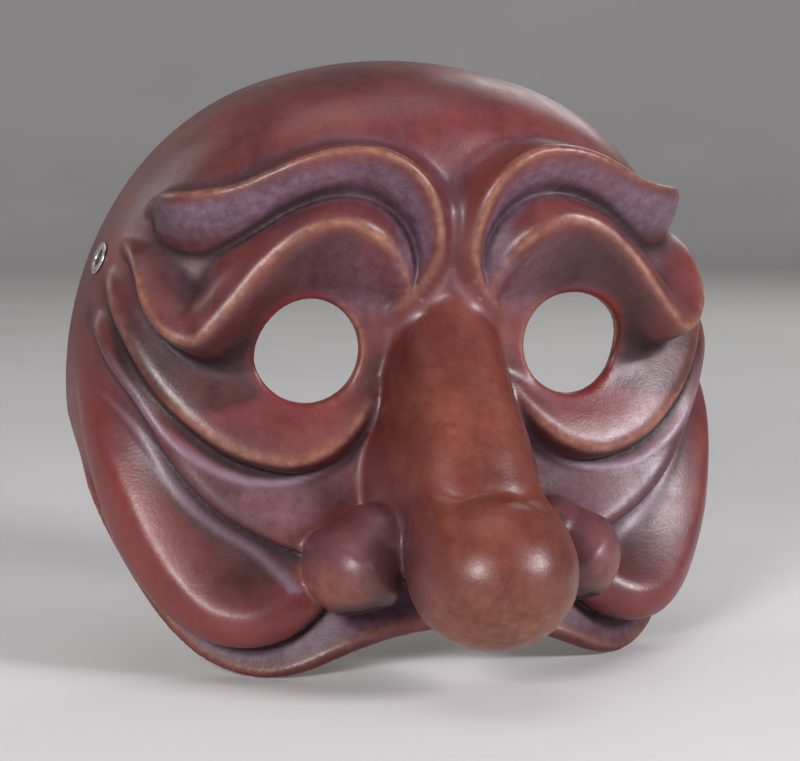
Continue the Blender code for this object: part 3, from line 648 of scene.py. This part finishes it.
# ------------------------------------------------------------------
# Shell
# ------------------------------------------------------------------
nxh = int(math.ceil(92 / CELL))
org = (-(nxh - 0.5) * CELL, -4.0 * CELL + 0.13, -78.0)
shape = (2 * nxh, int(124 / CELL) + 1, int(172 / CELL) + 1)
V3, Q = nets(full_field, org, CELL, shape)
V3 = settle(full_field, V3, 2, 0.5)
V3 = relax(V3, Q, 1, 0.35)
V3[:, 1] = np.where(V3[:, 1] < 0.12, 0.0, V3[:, 1])

# paint masks, one number per point
X, P, Z = np.abs(V3[:, 0]), V3[:, 1], V3[:, 2]
o, U, V = skin(X, P, Z, 0.0, OUTER)
inner = np.clip((-o - 1.3) / 1.0, 0, 1)
ns = nose(X, P, Z, 0.0)
on_nose = np.clip(1 - ns / 2.5, 0, 1)
soft, wide = blur(OUTER, 30), blur(OUTER, 160)
hollow = np.clip(sample(wide - OUTER, U, V) / 2.6, 0, 1)
raised = np.clip(sample(OUTER - soft, U, V) / 0.9, 0, 1)


def along(pts):
    c = curve(pts)
    n, _ = near(c[:, :2], UU, VV)
    return sample(n, U, V)


def band(d, a, b, w=1.0):
    """1 between a and b, easing off over w"""
    return np.clip((d - a) / w + 0.5, 0, 1) * np.clip((b - d) / w + 0.5, 0, 1)


d_brow, d_hood, d_bag, d_fold, d_jowl, d_lip = [along(c) for c in (BROW, HOOD, BAG, FOLD, JOWL, LIP)]
d_c1, d_c2, d_g = along(CREASE1), along(CREASE2), along(GROOVE)
off = 1 - on_nose
eye = (np.hypot((X - EYE_C[0]) / EYE_R[0], (Z - EYE_C[1]) / EYE_R[1]) - 1) * EYE_R[0]
h_brow, h_hood, h_bag, h_jowl = [sample(near(curve(c), UU, VV)[1][0], U, V) for c in (BROW, HOOD, BAG, JOWL)]
cool = np.maximum.reduce([
    hollow * 0.75,
    band(d_brow, -8.5, -1.6, 2) * np.clip(h_brow / 8, 0, 1) * 0.95,
    band(d_c1, -6, 0, 3) * 0.5,
    band(d_hood, -15, -2, 3) * np.clip((44 - U) / 10, 0, 1) * np.clip((V - 16) / 8, 0, 1) * 0.6,
    np.exp(-(along(FROWN) / 1.2) ** 2) * (V < 30) * 0.3, 0.16 + 0 * U,
    band(d_lip, 0.9, 6.0, 1.4) * np.clip((80 - U) / 20, 0, 1) * 0.95,
    np.exp(-(d_c1 / 1.2) ** 2) * np.clip((88 - U) / 15, 0, 1), np.exp(-(d_c2 / 1.2) ** 2) * np.clip((90 - U) / 15, 0, 1),
    band(d_c1, -9, -1, 4) * np.clip((70 - U) / 20, 0, 1) * 0.55]) * off
bulb = np.sqrt((X / 20) ** 2 + ((P - 93) / 20) ** 2 + ((Z + 37) / 19.3) ** 2)
wingd = np.sqrt((X - 27) ** 2 + ((P - 71) / 1.2) ** 2 + (Z + 37) ** 2) / 13
cool = np.maximum(cool, on_nose * np.exp(-((wingd - 1) / 0.25) ** 2) * 0.25)
crest = np.maximum.reduce([
    np.exp(-((d_brow - 0.4) / 0.9) ** 2) * np.clip(h_brow / 9, 0, 1) * 0.75,
    np.exp(-((d_hood - 0.5) / 0.9) ** 2) * np.clip(h_hood / 9, 0, 1) * 0.85,
    np.exp(-((d_bag - 0.3) / 1.2) ** 2) * np.clip(h_bag / 6, 0, 1) * 0.65,
    np.exp(-((d_lip - 0.3) / 0.8) ** 2) * 0.6])
rub = crest * off
rub = np.maximum(rub, on_nose * np.clip((-Z - 34) / 14, 0, 1) * np.clip((P - 78) / 12, 0, 1) * 0.5)
amber = on_nose * np.clip((X - 30) / 7, 0, 1) * np.clip((-Z - 34) / 8, 0, 1) * 0.75
amber = np.maximum(amber, on_nose * np.exp(-((X - 6) / 9) ** 2) * np.clip((Z + 24) / 16, 0, 1) * np.clip((14 - Z) / 14, 0, 1) * 0.42)
amber = np.maximum(amber, on_nose * np.clip((1.22 - bulb) / 0.25, 0, 1) * 0.26)
# fore edge of the eye holes, raw leather on the nose side
rub = np.maximum(rub, np.exp(-((eye - 0.6) / 0.7) ** 2) * np.clip((EYE_C[0] - X) / 12, 0, 1) * 0.7 * (P > 20))
red = np.exp(-(np.clip(eye, 0, 9) / 1.5) ** 2) * (P > 20) * np.clip(0.55 + (X - EYE_C[0]) / 24 + (Z - EYE_C[1]) / 40, 0.15, 1)
edge = sample(EDGE, U, V)
red = np.maximum(red, np.clip(1 - edge / 3.0, 0, 1) * np.clip((-V - 40) / 20, 0, 1) * 0.7)
warm = np.maximum.reduce([
    np.clip((X - 58) / 22, 0, 1) * np.clip((20 - Z) / 30, 0, 1) * 0.75,
    np.exp(-((X - 8) / 18) ** 2 - ((Z - 64) / 13) ** 2) * 0.6,
    np.clip(h_jowl / 12, 0, 1) * np.exp(-((d_jowl + 5) / 7.5) ** 2) * 0.85,
    np.exp(-((d_bag - 9) / 5) ** 2) * 0.35])
# painted shade in the creases: darker the deeper a point lies below the blurred relief
cav = np.clip(sample(blur(OUTER, 14) - OUTER, U, V) / 0.45 - 0.15, 0, 1)
recess_shade = np.clip(cav, 0, 0.85) * off
# painted shade below the hood, bag and fold edges, in the jowl valley, at the brow ends and in the broad hollows
shade = np.maximum.reduce([
    band(d_hood, -15, -1.6, 2.5) * np.clip((78 - U) / 10, 0, 1) * np.clip((U - 18) / 14, 0, 1) * np.clip((eye - 0.5) / 3, 0.25, 1),
    band(d_bag, -5.2, -1.0, 1.0) * np.clip(h_bag / 5, 0, 1),
    band(d_fold, -5.5, -1.2, 1.2) * 0.7,
    band(d_jowl, 5, 34, 7) * np.clip(h_jowl / 9, 0, 1) * np.clip((1.5 - d_c1) / 3, 0, 1) * 0.78,
    band(d_jowl, -20, -13, 5) * np.clip(h_jowl / 12, 0, 1) * 0.45,
    band(d_brow, -9, -2.2, 2) * np.clip(h_brow / 8, 0, 1) * np.clip((U - 60) / 12, 0, 1) * 0.85,
    np.clip(hollow * 1.3 - 0.35, 0, 1) * 0.75,
    band(d_brow, -10, -6.5, 3) * np.clip(h_brow / 8, 0, 1) * 0.35]) * off
# painted shade on the nose flanks and under the nose wings
shade = np.maximum(shade, on_nose * np.clip((P - 40) / 20, 0, 1) * np.clip((X - 15) / 6, 0, 1) * np.clip((Z + 30) / 12, 0, 1) * np.clip((30 - Z) / 12, 0, 1) * 0.3)
shade = np.maximum(shade, on_nose * np.clip((-Z - 45) / 4, 0, 1) * np.clip((X - 16) / 6, 0, 1) * 0.85)
shade = np.maximum(shade, on_nose * np.clip((X - 17) / 3, 0, 1) * np.clip((-Z - 24) / 6, 0, 1) * np.clip((32 - X) / 5, 0, 1) * 0.5)
recess_shade *= 1 - 0.7 * np.clip((32 - U) / 10, 0, 1) * np.clip((V - 12) / 8, 0, 1)
# painted pale highlight along the crease ridges, the frown lines and the side of the nose
crease_highlight = np.maximum(np.exp(-(d_c1 / 0.75) ** 2) * np.clip((86 - U) / 15, 0, 1), np.exp(-(d_c2 / 0.75) ** 2) * np.clip((92 - U) / 15, 0, 1)) * 0.55 * off
crease_highlight = np.maximum(crease_highlight, np.exp(-(along(FROWN) / 0.8) ** 2) * (V < 30) * np.clip((13 - U) / 4, 0, 1) * 0.25)
crease_highlight = np.maximum(crease_highlight, np.exp(-((ns - 0.7) / 0.7) ** 2) * np.clip((-8 - Z) / 6, 0, 1) * np.clip((P - 50) / 6, 0, 1) * np.clip((X - 14) / 4, 0, 1) * 0.2)
# painted shade round the nostril holes
nos = ellipsoid(X, P, Z, NOSTRIL_C, NOSTRIL_R)
recess_shade = np.maximum(recess_shade, np.clip(1 - nos / 3.0, 0, 1) * 0.85)

verts = V3 * np.array([1, -1, 1]) * MM
mask = new_object('mask_leather', verts.tolist(), Q[:, ::-1].tolist(), LEATHER)
for name, val in (('inner', inner), ('cool', cool), ('rub', rub), ('red', red), ('warm', warm), ('recess_shade', recess_shade), ('crease_highlight', crease_highlight), ('shade', shade), ('amber', amber)):
    a = mask.data.attributes.new(name, 'FLOAT', 'POINT')
    val = val * (1 - inner) if name != 'inner' else val
    a.data.foreach_set('value', np.clip(val, 0, 1).astype(np.float32))
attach(mask, 'root')
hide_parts('mask_shell')


# ------------------------------------------------------------------
# Eyelets and washers
# ------------------------------------------------------------------
def turned(name, profile, centre, normal, segs, mat):
    bm = bmesh.new()
    rows = []
    for i in range(segs):
        a = 2 * math.pi * i / segs
        rows.append([bm.verts.new((r * math.cos(a) * MM, r * math.sin(a) * MM, h * MM)) for r, h in profile])
    n = len(profile)
    for i in range(segs):
        for j in range(n):
            bm.faces.new((rows[i][j], rows[(i + 1) % segs][j],
                          rows[(i + 1) % segs][(j + 1) % n], rows[i][(j + 1) % n]))
    bmesh.ops.recalc_face_normals(bm, faces=bm.faces)
    me = bpy.data.meshes.new(name)
    bm.to_mesh(me)
    bm.free()
    me.shade_smooth()
    me.materials.append(mat)
    ob = bpy.data.objects.new(name, me)
    bpy.context.scene.collection.objects.link(ob)
    ob.matrix_world = Matrix.Translation(centre) @ normal.to_track_quat('Z', 'Y').to_matrix().to_4x4()
    return ob


def arc(cx, cy, r, a0, a1, n):
    return [(cx + r * math.cos(math.radians(a0 + (a1 - a0) * i / n)),
             cy + r * math.sin(math.radians(a0 + (a1 - a0) * i / n))) for i in range(n + 1)]


top = GAP + SHEET
under = -(WALL + 0.75)
roll = under - WASHER_T - GAP - SHEET
er = SHEET / 2
# outer flange, domed, turning into the barrel, then curled over the washer
prof = (arc(EYELET_BORE + 0.45, top - 0.45, 0.45, 180, 90, 8)
        + [(EYELET_BORE + 1.1, top - 0.02)]
        + arc(EYELET_FLANGE - 0.32, top - 0.34, 0.32, 80, -20, 8)
        + [(EYELET_FLANGE - 0.1, GAP), (EYELET_BARREL + 0.1, GAP), (EYELET_BARREL, GAP - 0.12),
           (EYELET_BARREL, roll + SHEET + 0.1), (EYELET_BARREL + 0.1, roll + SHEET)]
        + arc(EYELET_ROLL - er, roll + er, er, 90, -90, 8)
        + arc(EYELET_BORE + 0.3, roll + 0.3, 0.3, 270, 180, 6))
wprof = (arc(WASHER_R - 0.2, under - 0.2, 0.2, 90, 0, 4) + arc(WASHER_R - 0.2, under - WASHER_T + 0.2, 0.2, 0, -90, 4)
         + [(EYELET_BARREL + GAP + 0.1, under - WASHER_T), (EYELET_BARREL + GAP, under - WASHER_T + 0.1),
            (EYELET_BARREL + GAP, under - 0.1), (EYELET_BARREL + GAP + 0.1, under)])
for side, sgn in (('left', -1), ('right', 1)):
    c, n = face_point(sgn * EYELET_UV[0], EYELET_UV[1], 0.0)
    for name, pr in (('eyelet_' + side, prof), ('eyelet_washer_' + side, wprof)):
        ob = turned(name + '_turned', pr, c, n, 64, NICKEL)
        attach(ob, 'root')
        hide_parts(name)


# ------------------------------------------------------------------
# Pads: each swells a little by cloth simulation, then gets its seam
# ------------------------------------------------------------------
def cushion(node, u0, u1, v0, v1, thick):
    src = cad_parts[node]
    me = src.data.copy()
    ob = bpy.data.objects.new(node + '_felt', me)
    bpy.context.scene.collection.objects.link(ob)
    me.materials.clear()
    bpy.context.view_layer.objects.active = ob
    me.transform(src.matrix_world)
    m = ob.modifiers.new('grid', 'REMESH')
    m.mode = 'VOXEL'
    m.voxel_size = 0.0013
    apply(ob)
    start = np.empty(len(ob.data.vertices) * 3)
    ob.data.vertices.foreach_get('co', start)
    start = start.reshape(-1, 3)
    ctr = start.mean(0)
    # start from a slightly slimmer form
    nrm = np.empty(len(start) * 3)
    ob.data.vertices.foreach_get('normal', nrm)
    nrm = nrm.reshape(-1, 3)
    slim = start - nrm * 0.0006
    ob.data.vertices.foreach_set('co', slim.ravel())
    ob.data.update()
    c = ob.modifiers.new('cloth', 'CLOTH')
    s = c.settings
    s.quality = 5
    s.mass = 0.2
    s.tension_stiffness = s.compression_stiffness = 30
    s.shear_stiffness = 20
    s.bending_stiffness = 2
    s.use_pressure = True
    s.uniform_pressure_force = 4
    s.effector_weights.gravity = 0
    sc = bpy.context.scene
    for f in range(1, 15):
        sc.frame_set(f)
    dg = bpy.context.evaluated_depsgraph_get()
    ev = ob.evaluated_get(dg).to_mesh()
    out = np.empty(len(ev.vertices) * 3)
    ev.vertices.foreach_get('co', out)
    out = out.reshape(-1, 3)
    ob.modifiers.remove(c)
    sc.frame_set(1)
    d = out - slim
    ln = np.sqrt((d ** 2).sum(1, keepdims=True))
    out = slim + d * np.minimum(1, 0.0011 / np.maximum(ln, 1e-9))
    ob.data.vertices.foreach_set('co', out.ravel())
    ob.data.update()
    sub = ob.modifiers.new('fine', 'SUBSURF')
    sub.levels = sub.render_levels = 1
    apply(ob)
    ob.data.shade_smooth()
    ob.data.materials.append(FELT)
    # stitched edge tape round the pad
    cu, cv, hu, hv = (u0 + u1) / 2, (v0 + v1) / 2, (u1 - u0) / 2, (v1 - v0) / 2
    pts = []
    n = 96
    for i in range(n):
        t = 2 * math.pi * i / n
        a, b = math.cos(t), math.sin(t)
        k = 1 / (abs(a) ** 5 + abs(b) ** 5) ** 0.2
        U0, V0 = cu + a * k * hu, cv + b * k * hv
        wall = float(sample(INNER, np.array([abs(U0)]), np.array([V0]))[0]) - WALL
        pts.append(face_point(U0, V0, wall - PAD_GAP - thick * 0.36)[0])
    bm = bmesh.new()
    rings = []
    for i in range(n):
        p, q, r = pts[i - 1], pts[i], pts[(i + 1) % n]
        tan = (r - p).normalized()
        out_dir = (q - Vector(ctr))
        out_dir = (out_dir - out_dir.dot(tan) * tan).normalized()
        up = tan.cross(out_dir)
        rr = 0.00052 * (1 + 0.10 * math.cos(math.pi * i))
        rings.append([bm.verts.new(q + (out_dir * math.cos(w) + up * math.sin(w)) * rr)
                      for w in [2 * math.pi * k / 8 for k in range(8)]])
    for i in range(n):
        for k in range(8):
            bm.faces.new((rings[i][k], rings[(i + 1) % n][k], rings[(i + 1) % n][(k + 1) % 8], rings[i][(k + 1) % 8]))
    bmesh.ops.recalc_face_normals(bm, faces=bm.faces)
    wm = bpy.data.meshes.new(node + '_piping')
    bm.to_mesh(wm)
    bm.free()
    wm.shade_smooth()
    wm.materials.append(FELT)
    pipe = bpy.data.objects.new(node + '_piping', wm)
    bpy.context.scene.collection.objects.link(pipe)
    for p in (ob, pipe):
        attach(p, 'root')
    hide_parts(node)
    return ob


def apply(ob):
    """the modifiers' result becomes the mesh"""
    dg = bpy.context.evaluated_depsgraph_get()
    me = bpy.data.meshes.new_from_object(ob.evaluated_get(dg))
    old = ob.data
    ob.modifiers.clear()
    ob.data = me
    bpy.data.meshes.remove(old)


cushion('forehead_pad', -34, 34, 66, 82, PAD_T)
cushion('brow_pad', -11, 11, 33, 45, PAD_T - 0.5)
cushion('cheek_pad_left', -78, -60, -24, -2, PAD_T - 0.5)
cushion('cheek_pad_right', 60, 78, -24, -2, PAD_T - 0.5)

# ------------------------------------------------------------------
# Stage, lights, camera
# ------------------------------------------------------------------
low = cad_box[0][2] - 0.0002
bm = bmesh.new()
sweep = [(0.0, 0.0)] + [(0.1 * i, 0.0) for i in range(1, 16)]
sweep += [(1.5 + 0.6 * math.sin(a), 0.6 * (1 - math.cos(a))) for a in [math.radians(6 * i) for i in range(1, 16)]]
sweep += [(2.1, 0.6 + 0.15 * i) for i in range(1, 7)]
rows = []
SEG = 96
for i in range(SEG):
    a = 2 * math.pi * i / SEG
    rows.append([bm.verts.new((r * math.cos(a), r * math.sin(a), low + z)) for r, z in sweep[1:]])
hub = bm.verts.new((0, 0, low))
for i in range(SEG):
    q = rows[(i + 1) % SEG]
    bm.faces.new((hub, rows[i][0], q[0]))
    for j in range(len(sweep) - 2):
        bm.faces.new((rows[i][j], rows[i][j + 1], q[j + 1], q[j]))
me = bpy.data.meshes.new('floor')
bm.to_mesh(me)
bm.free()
me.shade_smooth()
me.materials.append(floor_mat())
floor = bpy.data.objects.new('floor', me)
bpy.context.scene.collection.objects.link(floor)

world = bpy.data.worlds.new('studio')
world.use_nodes = True
world.node_tree.nodes['Background'].inputs[0].default_value = (0.80, 0.81, 0.83, 1)
world.node_tree.nodes['Background'].inputs[1].default_value = 0.10
bpy.context.scene.world = world

AIM = Vector((0, -0.022, 0))


def lamp(name, loc, size, watts, colour=(1, 1, 1)):
    l = bpy.data.lights.new(name, 'AREA')
    l.size = size
    l.energy = watts
    l.color = colour
    ob = bpy.data.objects.new(name, l)
    bpy.context.scene.collection.objects.link(ob)
    ob.location = loc
    ob.rotation_euler = (AIM - Vector(loc)).to_track_quat('-Z', 'Y').to_euler()
    return ob


def around(azimuth, elevation, distance):
    a, e = math.radians(azimuth), math.radians(elevation)
    return tuple(AIM + Vector((math.sin(a) * math.cos(e), -math.cos(a) * math.cos(e), math.sin(e))) * distance)


lamp('key', around(-38, 19, 1.0), 0.24, 7.6, (0.98, 0.95, 1.0))
lamp('fill', around(44, 21, 1.0), 0.26, 8.6, (0.97, 0.93, 1.0))
lamp('top', (0.0, 0.0, 1.5), 1.0, 4.0)
lamp('rear_left', around(140, 30, 1.3), 0.5, 2.0)
lamp('rear_right', around(-140, 30, 1.3), 0.5, 1.6)

cam_data = bpy.data.cameras.new('camera')
cam = bpy.data.objects.new('camera', cam_data)
bpy.context.scene.collection.objects.link(cam)
az, el, dist = math.radians(-18.0), math.radians(6.53), 0.600
cam.location = AIM + Vector((math.sin(az) * math.cos(el), -math.cos(az) * math.cos(el), math.sin(el))) * dist
cam.rotation_euler = (AIM - cam.location).to_track_quat('-Z', 'Y').to_euler()
cam_data.sensor_fit = 'HORIZONTAL'
cam_data.sensor_width = 36
cam_data.lens = 36 * 2280 / 800
cam_data.shift_x = -0.55 / 800
cam_data.clip_start = 0.01
bpy.context.scene.camera = cam
bpy.context.scene.view_settings.view_transform = 'Standard'
